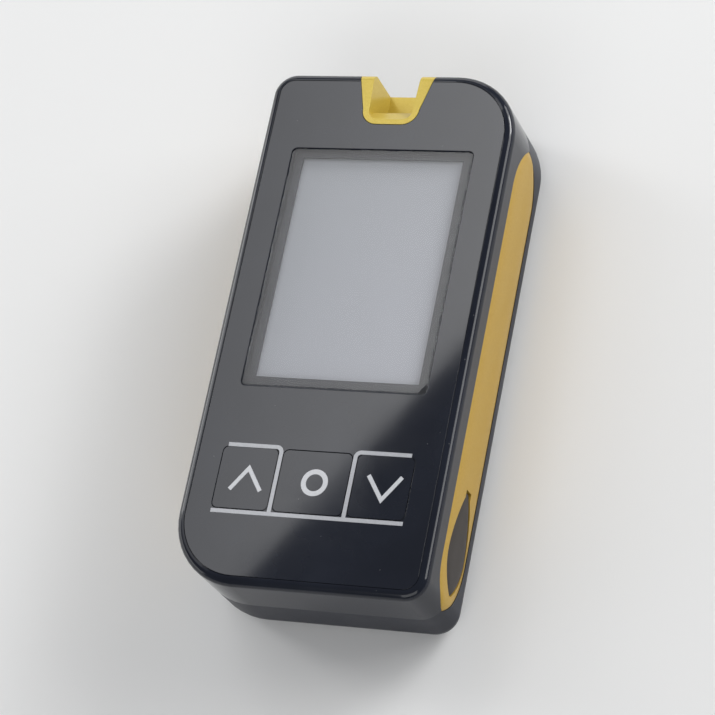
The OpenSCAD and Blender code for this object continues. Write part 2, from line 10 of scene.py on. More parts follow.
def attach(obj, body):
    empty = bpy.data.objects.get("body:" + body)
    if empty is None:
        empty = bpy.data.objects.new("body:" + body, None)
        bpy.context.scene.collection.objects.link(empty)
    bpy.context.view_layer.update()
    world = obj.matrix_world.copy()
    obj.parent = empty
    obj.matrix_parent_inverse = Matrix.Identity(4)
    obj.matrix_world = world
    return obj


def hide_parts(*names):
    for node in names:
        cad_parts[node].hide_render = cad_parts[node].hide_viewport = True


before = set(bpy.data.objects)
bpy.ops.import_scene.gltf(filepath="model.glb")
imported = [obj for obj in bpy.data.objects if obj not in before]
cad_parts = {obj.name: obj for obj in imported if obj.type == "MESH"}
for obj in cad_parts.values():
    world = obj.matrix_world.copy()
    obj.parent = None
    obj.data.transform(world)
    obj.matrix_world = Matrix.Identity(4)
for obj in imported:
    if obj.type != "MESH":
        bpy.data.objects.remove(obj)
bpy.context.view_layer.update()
MM = 0.001

# ---- Sizes shared between the pieces ----

# Case: half its width and length, the height of its face, its corner radii and its rolled edges
half_w, half_l, face_z = 20.0, 41.25, 18.0
corner_big, corner_small = 10.5, 3.5
front_fillet, back_fillet = 1.3, 3.0
# Printing: how far it stands out of the face and reaches into it
ink_proud, ink_sunk = 0.02, 0.03
# Side stripes: lower and upper edge, both ends along the case, and the lengths of the curved ends
trim_low, trim_high, trim_nose_y, trim_tail_y = 4.0, 14.0, 33.05, -39.65
trim_nose, tail_front, tail_rear = 8.0, 6.2, 8.2
# Leaf: both ends along the case, middle height, half width, the gap round it, and where it is widest
leaf_top, leaf_end, leaf_z = -21.81, -37.25, 8.6
leaf_half, leaf_gap, leaf_widest = 3.7, 0.12, 0.62
# Barrel of the leaf's hinge: place along the case, and length
barrel_y, barrel_l = -22.16, 1.8


# ---- Camera and studio ----

def place_camera():
    """The photograph's standpoint and roll, with a longer lens so that the meter fills the frame."""
    stand = Vector((153.1, -150.3, 364.9)) * MM
    aim = Vector((-1.0, -1.7, 9.0)) * MM
    lens, sensor, roll = 141.0, 36.0, -38.7
    data = bpy.data.cameras.new("Camera")
    data.lens, data.sensor_width = lens, sensor
    data.clip_start, data.clip_end = 0.01, 20.0
    camera = bpy.data.objects.new("Camera", data)
    bpy.context.scene.collection.objects.link(camera)
    camera.location = stand
    camera.rotation_mode = "QUATERNION"
    turn = Quaternion((0, 0, 1), math.radians(roll))
    camera.rotation_quaternion = (aim - stand).to_track_quat("-Z", "Y") @ turn
    bpy.context.scene.camera = camera


def soft_panel(name, place, aim, size, power, turn=0.0):
    """A rectangular soft light at a place, facing the aim, turned about its own axis."""
    data = bpy.data.lights.new(name, "AREA")
    data.shape, data.size, data.size_y, data.energy = "RECTANGLE", size[0], size[1], power
    lamp = bpy.data.objects.new(name, data)
    bpy.context.scene.collection.objects.link(lamp)
    lamp.location = place
    lamp.rotation_mode = "QUATERNION"
    facing = (Vector(aim) - Vector(place)).to_track_quat("-Z", "Y")
    lamp.rotation_quaternion = facing @ Quaternion((0, 0, 1), math.radians(turn))
    return data


def fade_panel(light, slope, start, low, high):
    """Lets a panel's light change evenly from low to high across it, as a window's does."""
    light.use_nodes = True
    tree = light.node_tree
    spot = put(tree, "ShaderNodeNewGeometry").outputs["Parametric"]
    along = put(tree, "ShaderNodeVectorMath", {0: spot, 1: (*slope, 0)}, operation="DOT_PRODUCT")
    level = ramp(tree, along.outputs["Value"], low - start, high - start, low, high)
    tree.links.new(level, tree.nodes["Emission"].inputs["Strength"])


def build_studio():
    """A pale floor and surround, a large window light, and smaller soft lights round the meter."""
    scene = bpy.context.scene
    scene.view_settings.view_transform = "Standard"
    world = bpy.data.worlds.new("Studio")
    world.use_nodes = True
    background = world.node_tree.nodes["Background"]
    background.inputs["Color"].default_value = (0.80, 0.82, 0.85, 1)
    background.inputs["Strength"].default_value = 0.25
    scene.world = world

    reach, clearance = 3.0, 0.02 * MM
    mesh = bpy.data.meshes.new("Floor")
    mesh.from_pydata([(-reach, -reach, 0), (reach, -reach, 0), (reach, reach, 0), (-reach, reach, 0)],
                     [], [(0, 1, 2, 3)])
    floor = bpy.data.objects.new("Floor", mesh)
    scene.collection.objects.link(floor)
    floor.location.z = -clearance
    floor.data.materials.append(floor_paint())

    window = soft_panel("Window_light", (-0.60, 0.50, 0.90), (-0.60, 0.50, 0.0), (0.60, 0.80), 5.3,
                        turn=-34.5)
    fade_panel(window, slope=(1.257, 1.382), start=-1.076, low=0.35, high=1.3)
    meter = (0, 0, 0.01)
    for name, place, size, power in (
            ("Side_light", (0.68, 0.58, 0.42), (1.0, 0.4), 6.0),
            ("Corner_light", (0.62, 0.64, 0.36), (0.35, 0.18), 3.0),
            ("Front_light", (0.15, -0.80, 0.55), (1.0, 0.5), 3.1),
            ("Left_edge_light", (-1.0, -0.05, 0.20), (1.3, 0.36), 2.4),
            ("Left_bevel_light", (-0.80, 0.305, 0.42), (0.22, 0.62), 1.6),
            ("Back_edge_light", (-0.5, 0.90, 0.20), (1.1, 0.36), 2.4)):
        soft_panel(name, place, meter, size, power)


# ---- Node trees ----

def put(tree, kind, values=None, **settings):
    """Adds a node, sets its properties, and fills its inputs with values or links."""
    made = tree.nodes.new(kind)
    for key, value in settings.items():
        setattr(made, key, value)
    for key, value in (values or {}).items():
        if isinstance(value, bpy.types.NodeSocket):
            tree.links.new(value, made.inputs[key])
        else:
            made.inputs[key].default_value = value
    return made


def new_group(name, kind, ins, outs):
    """A node group with named inputs and outputs. Returns the tree, what comes in and what goes out."""
    tree = bpy.data.node_groups.new(name, kind)
    for label, socket, start in ins:
        made = tree.interface.new_socket(label, in_out="INPUT", socket_type="NodeSocket" + socket)
        if start is not None:
            made.default_value = start
    for label, socket in outs:
        tree.interface.new_socket(label, in_out="OUTPUT", socket_type="NodeSocket" + socket)
    return tree, tree.nodes.new("NodeGroupInput").outputs, tree.nodes.new("NodeGroupOutput").inputs


def object_place(tree):
    """A point's place on its own piece, in metres."""
    return put(tree, "ShaderNodeTexCoord").outputs["Object"]


def scaled(tree, scale, turn=(0, 0, 0)):
    """A point's place on its own piece, turned and scaled."""
    mapping = put(tree, "ShaderNodeMapping",
                  {"Vector": object_place(tree), "Rotation": turn, "Scale": scale})
    return mapping.outputs["Vector"]


def noise(tree, where, scale, detail=2.0, **more):
    """The value of a noise texture at a place."""
    values = {"Vector": where, "Scale": scale, "Detail": detail, **more}
    return put(tree, "ShaderNodeTexNoise", values).outputs[0]


def ramp(tree, value, low, high, to_low=0.0, to_high=1.0):
    return put(tree, "ShaderNodeMapRange", {"Value": value, "From Min": low, "From Max": high,
                                            "To Min": to_low, "To Max": to_high}).outputs["Result"]


def math_node(tree, operation, a, b):
    return put(tree, "ShaderNodeMath", {0: a, 1: b}, operation=operation).outputs[0]


def product(tree, a, b):
    return math_node(tree, "MULTIPLY", a, b)


def first_channel(tree, colour):
    return put(tree, "ShaderNodeSeparateColor", {"Color": colour}).outputs[0]


def moulded_texture_group():
    """The fine spark-eroded texture of a mould, and the slow drift of tone across a moulding."""
    tree, come, go = new_group("Moulded Texture", "ShaderNodeTree",
                               [("Grains per Metre", "Float", 5200.0)],
                               [("Height", "Float"), ("Tone", "Float")])
    where = object_place(tree)
    drift = noise(tree, where, 85.0, 3.0, Roughness=0.55)
    tree.links.new(noise(tree, where, come[0], Roughness=0.6), go["Height"])
    tree.links.new(ramp(tree, drift, 0.3, 0.7), go["Tone"])
    return tree


def handling_marks_group():
    """Smudges, hairline scratches and dust from everyday handling, each as a mask."""
    tree, come, go = new_group("Handling Marks", "ShaderNodeTree", [("Amount", "Float", 1.0)],
                               [("Smudge", "Float"), ("Scratch", "Float"), ("Dust", "Float")])
    where, amount = object_place(tree), come[0]
    patch = noise(tree, where, 70.0, 4.0, Roughness=0.62, Distortion=0.6)
    tree.links.new(product(tree, ramp(tree, patch, 0.45, 0.75), amount), go["Smudge"])
    hairs = noise(tree, scaled(tree, (9000, 160, 9000), (0, 0, 0.5)), 1.0, 1.0)
    tree.links.new(product(tree, ramp(tree, hairs, 0.76, 0.80), amount), go["Scratch"])
    specks = put(tree, "ShaderNodeTexVoronoi", {"Vector": where, "Scale": 620.0}).outputs
    near = ramp(tree, specks["Distance"], 0.05, 0.03)
    few = math_node(tree, "GREATER_THAN", first_channel(tree, specks["Color"]), 0.82)
    tree.links.new(product(tree, product(tree, near, few), amount), go["Dust"])
    return tree


def metal_flake_group():
    """The fine flake of a metallic paint."""
    tree, come, go = new_group("Metal Flake", "ShaderNodeTree", [("Flakes per Metre", "Float", 9000.0)],
                               [("Tone", "Float"), ("Height", "Float")])
    where = object_place(tree)
    flakes = put(tree, "ShaderNodeTexVoronoi", {"Vector": where, "Scale": come[0]}).outputs
    tree.links.new(first_channel(tree, flakes["Color"]), go["Tone"])
    tree.links.new(noise(tree, where, 1400.0, 1.0), go["Height"])
    return tree


def drawn_metal_group():
    """The streaks left on sheet metal by rolling or brushing along one direction."""
    tree, come, go = new_group("Drawn Metal", "ShaderNodeTree",
                               [("Streaks", "Vector", (400.0, 9000.0, 9000.0))],
                               [("Height", "Float"), ("Tone", "Float")])
    cloud = noise(tree, object_place(tree), 300.0, 3.0)
    tree.links.new(noise(tree, scaled(tree, come[0]), 1.0, 3.0), go["Height"])
    tree.links.new(ramp(tree, cloud, 0.35, 0.7), go["Tone"])
    return tree


GROUPS = {}


def build_groups():
    GROUPS.update(texture=moulded_texture_group(), marks=handling_marks_group(),
                  flake=metal_flake_group(), drawn=drawn_metal_group())


def use(tree, group, values=None):
    """Places a shared effect in a material with its own values. Returns what it puts out."""
    return put(tree, "ShaderNodeGroup", values, node_tree=GROUPS[group]).outputs


# ---- Finishes ----

def start_material(name, **sockets):
    """A material with its shader's plain sockets set. Returns the material, its tree and the shader."""
    material = bpy.data.materials.new(name)
    material.use_nodes = True
    tree = material.node_tree
    shader = tree.nodes["Principled BSDF"]
    for key, value in sockets.items():
        shader.inputs[key.replace("_", " ")].default_value = value
    return material, tree, shader


def tinted(colour, gain, lift=0.0):
    return tuple(min(1, c * gain + lift) for c in colour)


def blend_colour(tree, mask, a, b):
    """A colour that goes from one to another by a mask."""
    made = put(tree, "ShaderNodeMix", data_type="RGBA")
    tree.links.new(mask, made.inputs[0])
    for index, value in ((6, a), (7, b)):
        if isinstance(value, bpy.types.NodeSocket):
            tree.links.new(value, made.inputs[index])
        else:
            made.inputs[index].default_value = (*value, 1)
    return made.outputs[2]


def colour_by(tree, shader, mask, a, b):
    """Lets the shader's colour go from one to another by a mask."""
    tree.links.new(blend_colour(tree, mask, a, b), shader.inputs["Base Color"])


def roughness_by(tree, shader, mask, a, b):
    """Lets the shader's roughness go from one value to another by a mask."""
    tree.links.new(ramp(tree, mask, 0, 1, a, b), shader.inputs["Roughness"])


def bump(tree, shader, height, depth):
    """Feeds a height, worth a depth in millimetres, to the shader's normal."""
    made = put(tree, "ShaderNodeBump", {"Height": height, "Distance": depth * MM, "Strength": 1.0})
    tree.links.new(made.outputs["Normal"], shader.inputs["Normal"])


def floor_paint():
    material, _, shader = start_material("Floor_paint", Roughness=0.7, Specular_IOR_Level=0.25)
    shader.inputs["Base Color"].default_value = (0.86, 0.86, 0.855, 1)
    return material


def glossy_plastic(name, colour, rough, shine=0.5, amount=1.0):
    """Polished plastic with faint smudges, hairlines and dust."""
    material, tree, shader = start_material(name, IOR=1.5, Specular_IOR_Level=shine)
    marks = use(tree, "marks", {"Amount": amount})
    base = blend_colour(tree, use(tree, "texture")["Tone"], colour, tinted(colour, 1.35, 0.002))
    colour_by(tree, shader, marks["Dust"], base, (0.30, 0.30, 0.29))
    smudged = ramp(tree, marks["Smudge"], 0, 1, rough, rough + 0.07)
    scratched = math_node(tree, "ADD", smudged, ramp(tree, marks["Scratch"], 0, 1, 0, 0.10))
    tree.links.new(scratched, shader.inputs["Roughness"])
    return material


def textured_plastic(name, colour, rough, depth=0.006, grains=5200.0, shine=0.5):
    """Moulded plastic or rubber with a spark-eroded surface and a little dust in it."""
    material, tree, shader = start_material(name, IOR=1.5, Specular_IOR_Level=shine)
    texture = use(tree, "texture", {"Grains per Metre": grains})
    marks = use(tree, "marks", {"Amount": 1.0})
    base = blend_colour(tree, texture["Tone"], colour, tinted(colour, 1.3, 0.003))
    colour_by(tree, shader, marks["Dust"], base, (0.32, 0.31, 0.30))
    roughness_by(tree, shader, marks["Smudge"], rough, rough - 0.08)
    bump(tree, shader, texture["Height"], depth)
    return material


def gold_paint(name, colour, pale, rough, coat):
    """Metallic gold paint over plastic: fine flake under a thin clear coat."""
    material, tree, shader = start_material(name, Metallic=0.3, Specular_IOR_Level=0.3,
                                            Coat_Weight=coat, Coat_Roughness=0.12)
    flake = use(tree, "flake")
    marks = use(tree, "marks", {"Amount": 0.8})
    base = blend_colour(tree, ramp(tree, flake["Tone"], 0, 1, 0.15, 0.85), colour, pale)
    colour_by(tree, shader, marks["Dust"], base, (0.42, 0.38, 0.30))
    roughness_by(tree, shader, marks["Smudge"], rough, rough + 0.10)
    bump(tree, shader, flake["Height"], 0.003)
    return material


def sheet_metal(name, colour, rough, streaks, depth=0.002):
    """Rolled or plated metal with streaks along one direction and a slight tarnish."""
    material, tree, shader = start_material(name, Metallic=1.0)
    drawn = use(tree, "drawn", {"Streaks": streaks})
    colour_by(tree, shader, drawn["Tone"], tinted(colour, 0.88), colour)
    roughness_by(tree, shader, drawn["Tone"], rough + 0.08, rough)
    bump(tree, shader, drawn["Height"], depth)
    return material


def clear_window():
    """A clear hard-coated window, which lets light straight through to and from the display."""
    material, tree, shader = start_material("Clear_window", Roughness=0.0, IOR=1.45,
                                            Transmission_Weight=1.0)
    marks = use(tree, "marks", {"Amount": 0.5})
    colour_by(tree, shader, marks["Smudge"], (0.97, 0.98, 1.0), (0.92, 0.93, 0.94))
    through = put(tree, "ShaderNodeBsdfTransparent", {"Color": (0.94, 0.95, 0.97, 1)})
    path = put(tree, "ShaderNodeLightPath").outputs
    unseen = math_node(tree, "MAXIMUM", path["Is Shadow Ray"],
                       math_node(tree, "MAXIMUM", path["Is Diffuse Ray"], path["Is Glossy Ray"]))
    mix = put(tree, "ShaderNodeMixShader", {0: unseen, 1: shader.outputs[0], 2: through.outputs[0]})
    tree.links.new(mix.outputs[0], tree.nodes["Material Output"].inputs["Surface"])
    return material


def screen_glass():
    """A switched-off reflective display: a light grey field with painted light on it, lighter and
    cooler towards its lower right, in soft clouds.
    """
    material, tree, shader = start_material("Screen_glass", IOR=1.5, Specular_IOR_Level=0.25)
    where = object_place(tree)
    parts = put(tree, "ShaderNodeSeparateXYZ", {"Vector": where}).outputs
    # Painted reflection: the grey is painted lighter and cooler towards the lower right, and the cloud
    # below makes this uneven.
    drift = ramp(tree, math_node(tree, "SUBTRACT", parts[0], parts[1]), -0.03, 0.02)
    cloud = ramp(tree, noise(tree, where, 45.0), 0.2, 0.8, 0.5, 1.0)
    colour_by(tree, shader, product(tree, drift, cloud), (0.37, 0.372, 0.376), (0.44, 0.436, 0.450))
    roughness_by(tree, shader, noise(tree, where, 400.0), 0.42, 0.46)
    return material


def milky_plastic(name, colour):
    """Pale plastic that lets a little light in."""
    material, tree, shader = start_material(name, Roughness=0.45, Subsurface_Weight=0.1)
    texture = use(tree, "texture")
    colour_by(tree, shader, texture["Tone"], colour, tinted(colour, 0.92))
    bump(tree, shader, texture["Height"], 0.003)
    return material


def layered_rubber():
    """A connector strip of thin dark and pale layers, side by side across the case."""
    material, tree, shader = start_material("Layered_rubber", Roughness=0.6)
    layers = put(tree, "ShaderNodeTexWave", {"Vector": object_place(tree), "Scale": 800.0},
                 bands_direction="X")
    colour_by(tree, shader, ramp(tree, layers.outputs[1], 0.4, 0.6), (0.05, 0.05, 0.055),
              (0.42, 0.42, 0.40))
    return material


def circuit_board():
    """Green solder mask with faint copper runs under it."""
    material, tree, shader = start_material("Circuit_board", Coat_Weight=0.4, Coat_Roughness=0.15)
    black, white = (0, 0, 0, 1), (1, 1, 1, 1)
    runs = put(tree, "ShaderNodeTexBrick", {
        "Vector": object_place(tree), "Scale": 420.0, "Color1": black, "Color2": black,
        "Mortar": white, "Mortar Size": 0.06, "Brick Width": 2.4, "Row Height": 0.4})
    mask = first_channel(tree, runs.outputs["Color"])
    colour_by(tree, shader, mask, (0.016, 0.10, 0.05), (0.05, 0.20, 0.09))
    roughness_by(tree, shader, use(tree, "texture")["Tone"], 0.35, 0.5)
    bump(tree, shader, mask, 0.02)
    return material


def ink(name, colour):
    """Pale printing with a slightly mottled cover, under a gloss like the face's."""
    material, tree, shader = start_material(name, Coat_Weight=0.6, Coat_Roughness=0.05, Roughness=0.35)
    mottle = ramp(tree, noise(tree, object_place(tree), 3500.0), 0.3, 0.7)
    colour_by(tree, shader, mottle, colour, tinted(colour, 0.9))
    return material


FINISHES = {}


def build_finishes():
    """One finish for each material slot of the record, and the two inks of the printing."""
    dark_blue = (0.0075, 0.0095, 0.0165)
    shell_blue = (0.009, 0.011, 0.019)
    steel, along_y = (0.62, 0.62, 0.60), (9000, 400, 9000)
    FINISHES.update(
        cover_black=glossy_plastic("Cover_black", (0.008, 0.010, 0.017), 0.10, shine=0.35, amount=0.6),
        face_gloss=glossy_plastic("Face_gloss", dark_blue, 0.045, amount=0.35),
        key_gloss=glossy_plastic("Key_gloss", dark_blue, 0.05, amount=0.6),
        window_clear=clear_window(),
        frame_black=glossy_plastic("Frame_black", (0.045, 0.046, 0.050), 0.32, shine=0.25, amount=0.3),
        display_grey=screen_glass(),
        guide_white=milky_plastic("Guide_white", (0.85, 0.85, 0.83)),
        elastomer=layered_rubber(),
        board_green=circuit_board(),
        chip_black=textured_plastic("Chip_black", (0.03, 0.03, 0.035), 0.6),
        dome_steel=sheet_metal("Dome_steel", steel, 0.18, (2000, 2000, 9000), 0.001),
        buzzer_black=textured_plastic("Buzzer_black", (0.025, 0.025, 0.025), 0.5),
        port_gold=gold_paint("Port_gold", (0.51, 0.375, 0.050), (0.62, 0.48, 0.100), 0.34, coat=0.12),
        trim_gold=gold_paint("Trim_gold", (0.43, 0.265, 0.032), (0.51, 0.330, 0.065), 0.34, coat=0.03),
        socket_ivory=milky_plastic("Socket_ivory", (0.72, 0.69, 0.60)),
        contact_gold=sheet_metal("Contact_gold", (0.80, 0.60, 0.25), 0.22, along_y, 0.001),
        socket_steel=sheet_metal("Socket_steel", (0.62, 0.62, 0.62), 0.26, along_y),
        rear_black=textured_plastic("Rear_black", shell_blue, 0.40, 0.005, shine=0.3),
        cell_steel=sheet_metal("Cell_steel", steel, 0.20, (300, 9000, 9000)),
        contact_nickel=sheet_metal("Contact_nickel", (0.68, 0.66, 0.62), 0.25, along_y),
        screw_steel=sheet_metal("Screw_steel", (0.20, 0.20, 0.21), 0.35, (3000, 3000, 3000)),
        door_black=textured_plastic("Door_black", shell_blue, 0.42, 0.005, shine=0.3),
        cover_rubber=textured_plastic("Cover_rubber", (0.020, 0.015, 0.013), 0.55, 0.008, 3800.0),
        ink=ink("Key_ink", (0.44, 0.45, 0.48)),
        ink_bright=ink("Mark_ink", (0.60, 0.61, 0.64)),
    )


# ---- Making pieces ----

def finish_piece(obj, body, slot, stands_for=(), finish=None):
    """Gives a piece the finish of its slot, or the finish given instead, puts it on its body, and hides
    what it stands for.
    """
    obj.data.materials.clear()
    obj.data.materials.append(FINISHES[finish or slot])
    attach(obj, body)
    if stands_for:
        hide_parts(*stands_for)
    return obj


def new_object(name, mesh):
    obj = bpy.data.objects.new(name, mesh)
    bpy.context.scene.collection.objects.link(obj)
    return obj


def smooth_piece(obj, sharp):
    """Smooth shading, with edges sharper than an angle in degrees left sharp."""
    obj.data.shade_smooth()
    obj.data.set_sharp_from_angle(angle=math.radians(sharp))
    return obj


def mesh_from(name, build):
    """A mesh made by a function that fills a bmesh, with its faces turned outwards."""
    bm = bmesh.new()
    build(bm)
    bmesh.ops.remove_doubles(bm, verts=bm.verts, dist=1e-7)
    bmesh.ops.recalc_face_normals(bm, faces=bm.faces)
    mesh = bpy.data.meshes.new(name)
    bm.to_mesh(mesh)
    bm.free()
    return mesh


def merged_mesh(node, name, flatten=False):
    """A CAD node's mesh with its doubled points merged and, where asked, its flat faces joined."""
    bm = bmesh.new()
    bm.from_mesh(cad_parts[node].data)
    bmesh.ops.remove_doubles(bm, verts=bm.verts, dist=1e-6)
    if flatten:
        bmesh.ops.dissolve_limit(bm, angle_limit=math.radians(0.5), verts=bm.verts, edges=bm.edges)
    mesh = bpy.data.meshes.new(name)
    bm.to_mesh(mesh)
    bm.free()
    return mesh


def prism_cutter(name, near, far):
    """A closed solid between two matching outlines of points in millimetres."""
    def build(bm):
        rows = [[bm.verts.new(Vector(p) * MM) for p in outline] for outline in (near, far)]
        bm.faces.new(rows[0])
        bm.faces.new(rows[1][::-1])
        for i in range(len(near)):
            j = (i + 1) % len(near)
            bm.faces.new((rows[0][i], rows[1][i], rows[1][j], rows[0][j]))
    return mesh_from(name, build)


def cut_away(obj, *cutters):
    """Takes cutter meshes out of a piece, for good."""
    tools = [new_object(cutter.name, cutter) for cutter in cutters]
    for tool in tools:
        cut = obj.modifiers.new("Opening", "BOOLEAN")
        cut.object, cut.operation, cut.solver = tool, "DIFFERENCE", "EXACT"
    mesh = bpy.data.meshes.new_from_object(obj.evaluated_get(bpy.context.evaluated_depsgraph_get()))
    obj.modifiers.clear()
    mesh.name = obj.name
    obj.data = mesh
    for tool in tools:
        bpy.data.objects.remove(tool)


def dressed_copy(node, name, body, slot, edge, steps=2, cutters=()):
    """A copy of a CAD node with smooth curves, small rounded edges and, where given, cuts."""
    sharp = 32.0
    obj = new_object(name, merged_mesh(node, name, flatten=True))
    if cutters:
        cut_away(obj, *cutters)
    smooth_piece(obj, sharp)
    bevel = obj.modifiers.new("Rounded edges", "BEVEL")
    bevel.width, bevel.segments = edge * MM, steps
    bevel.limit_method, bevel.angle_limit = "ANGLE", math.radians(sharp)
    bevel.use_clamp_overlap = True
    bevel.harden_normals = True
    weighted = obj.modifiers.new("Even shading", "WEIGHTED_NORMAL")
    weighted.keep_sharp = True
    return finish_piece(obj, body, slot, (node,))


# ---- Case ----

def wall_at(x, y):
    """How far a point lies inside the case outline, and the outward direction of the nearest wall."""
    side_x, side_y = (1 if x >= 0 else -1), (1 if y >= 0 else -1)
    r = corner_big if side_x * side_y > 0 else corner_small
    dx, dy = abs(x) - (half_w - r), abs(y) - (half_l - r)
    if dx > 0 and dy > 0:
        reach = math.hypot(dx, dy)
        return r - reach, (side_x * dx / reach, side_y * dy / reach)
    if half_w - abs(x) < half_l - abs(y):
        return half_w - abs(x), (side_x, 0)
    return half_l - abs(y), (0, side_y)


def case_normal(point):
    """The normal of the case's outside at a point in metres, or None where the point isn't on it."""
    flat_slack, wall_slack, upright = 0.03, 0.04, 0.9999
    x, y, z = (c / MM for c in point)
    inset, (nx, ny) = wall_at(x, y)
    if z > face_z - front_fillet:
        rise, r = (z - face_z + front_fillet) / front_fillet, front_fillet
    elif z < back_fillet:
        rise, r = (z - back_fillet) / back_fillet, back_fillet
    else:
        rise, r = 0.0, 0.0
    rise = max(-1.0, min(1.0, rise))
    level = math.sqrt(1 - rise * rise)
    if abs(rise) > upright and inset >= r - flat_slack:
        return Vector((0, 0, math.copysign(1, rise)))
    if abs(inset - r * (1 - level)) > wall_slack:
        return None
    return Vector((nx * level, ny * level, rise))


def case_copy(node, name, body, slot):
    """A copy of a CAD node whose outside is shaded as the true rounded case, and the rest as it is."""
    alike = 0.93
    mesh = merged_mesh(node, name)
    mesh.shade_smooth()
    outside = [case_normal(v.co) for v in mesh.vertices]
    normals = []
    for face in mesh.polygons:
        given = [outside[i] for i in face.vertices]
        on_case = all(n is not None and n.dot(face.normal) > alike for n in given)
        normals += given if on_case else [face.normal.copy() for _ in given]
    mesh.normals_split_custom_set(normals)
    return finish_piece(new_object(name, mesh), body, slot, (node,))


# ---- Stripes and leaf ----

def arc_drop(length, height, along):
    """How far an arc that drops by a height over a length has dropped at a place along it."""
    r = (length ** 2 + height ** 2) / (2 * height)
    return r - math.sqrt(max(r * r - along ** 2, 0))


def stripe_edges(y):
    """The lower and upper edge of a side stripe at a place along the case."""
    low, high = trim_low, trim_high
    past_nose = y - trim_nose_y + trim_nose
    past_front, past_rear = trim_tail_y + tail_front - y, trim_tail_y + tail_rear - y
    if past_nose > 0:
        drop = arc_drop(trim_nose, (trim_high - trim_low) / 2, past_nose)
        low, high = low + drop, high - drop
    if past_front > 0:
        high -= arc_drop(tail_front, trim_high - leaf_z, past_front)
    if past_rear > 0:
        low += arc_drop(tail_rear, leaf_z - trim_low, past_rear)
    return low, high


def leaf_edges(y, grow=0.0):
    """The lower and upper edge of the leaf's face: blunt at the hinge, pointed at its other end."""
    blunt, pointed = 0.45, 0.75
    t = min(max((leaf_top - y + grow) / (leaf_top - leaf_end + 2 * grow), 0), 1)
    full = math.sin(math.pi * t ** (math.log(0.5) / math.log(leaf_widest)))
    half = (leaf_half + grow) * max(full, 0) ** (blunt if t < leaf_widest else pointed)
    return leaf_z - half, leaf_z + half


def eased(start, stop, steps):
    """Places from start to stop that lie closer together towards both ends."""
    return [start + (stop - start) * (1 - math.cos(math.pi * i / steps)) / 2 for i in range(steps + 1)]


def wall_x(y):
    """The place of the right wall at a place along the case."""
    x = half_w
    for r, sign in ((corner_big, 1), (corner_small, -1)):
        beyond = sign * y - (half_l - r)
        if beyond > 0:
            x = half_w - r + math.sqrt(r * r - beyond * beyond)
    return x


def pad_mesh(name, edges, start, stop, swell, sunk, depth, seam=0.0):
    """A crowned pad between two edges, along the right wall from one place to another."""
    stations, across, full_crown = 120, 16, 4.0
    thinnest = 2.2 * seam + 0.02

    def build(bm):
        loops = []
        for y in eased(start, stop, stations):
            low, high = edges(y)
            if high - low > thinnest:
                low, high = low + seam, high - seam
            else:
                low = high = (low + high) / 2
            x = wall_x(y)
            nx, ny = wall_at(x, y)[1]
            crown = swell * min(1.0, (high - low) / full_crown)
            loop = []
            for k in range(across + 1):
                u = k / across
                out = crown * (1 - abs(2 * u - 1) ** 4) - sunk
                loop.append((x + nx * out, y + ny * out, low + (high - low) * u))
            loop += [(x - nx * depth, y - ny * depth, high), (x - nx * depth, y - ny * depth, low)]
            loops.append([bm.verts.new(Vector(p) * MM) for p in loop])
        for a, b in zip(loops, loops[1:]):
            for k in range(len(a)):
                j = (k + 1) % len(a)
                bm.faces.new((a[k], a[j], b[j], b[k]))
        bm.faces.new(loops[0])
        bm.faces.new(loops[-1][::-1])
        bmesh.ops.dissolve_degenerate(bm, edges=bm.edges, dist=1e-6)
    return mesh_from(name, build)


def side_cutter(name, side, near_x, far_x):
    """A cutter through the right wall, from a closed outline of places along and up the case."""
    return prism_cutter(name, [(near_x, y, z) for y, z in side], [(far_x, y, z) for y, z in side])


def dress_stripes():
    """Both side stripes. The left one is the right one turned half round, without its openings."""
    sharp = 38
    shape = dict(edges=stripe_edges, start=trim_nose_y, stop=trim_tail_y, swell=0.26, sunk=0.10,
                 depth=0.72, seam=0.04)
    left = smooth_piece(new_object("Left_stripe", pad_mesh("Left_stripe", **shape)), sharp)
    left.data.transform(Matrix.Rotation(math.pi, 4, "Z"))
    finish_piece(left, "housing", "trim_gold", ("left_trim",))

    right = new_object("Right_stripe", pad_mesh("Right_stripe", **shape))
    inner_x, outer_x = 18.6, 21.2
    ys = eased(leaf_end - leaf_gap, leaf_top + leaf_gap, 60)
    lows, highs = zip(*(leaf_edges(y, leaf_gap) for y in ys))
    side = list(zip(ys, lows)) + list(zip(ys, highs))[-2:0:-1]
    leaf_opening = side_cutter("Leaf_opening", side, inner_x, outer_x)
    room, above, below = barrel_l / 2 + 0.15, 0.66, 1.0
    side = [(barrel_y - below, leaf_z - room), (barrel_y + above, leaf_z - room),
            (barrel_y + above, leaf_z + room), (barrel_y - below, leaf_z + room)]
    hinge_opening = side_cutter("Hinge_opening", side, inner_x - 0.1, outer_x + 0.1)
    cut_away(right, leaf_opening, hinge_opening)
    finish_piece(smooth_piece(right, sharp), "housing", "trim_gold", ("right_trim",))


def dress_leaf():
    """The rubber cover: its plug and hinge as in the CAD, under a crowned leaf with a small lip."""
    dressed_copy("port_cover", "Leaf_cover", "cover", "cover_rubber", edge=0.10)
    face = pad_mesh("Leaf_face", leaf_edges, leaf_top, leaf_end, swell=0.20, sunk=0.03, depth=0.65)
    finish_piece(smooth_piece(new_object("Leaf_face", face), 50), "cover", "cover_rubber")


# ---- Port ----

def arc_points(cx, cy, r, start, stop, steps):
    """Points on an arc between two angles in degrees."""
    turns = [math.radians(start + (stop - start) * i / steps) for i in range(steps + 1)]
    return [(cx + r * math.cos(turn), cy + r * math.sin(turn)) for turn in turns]


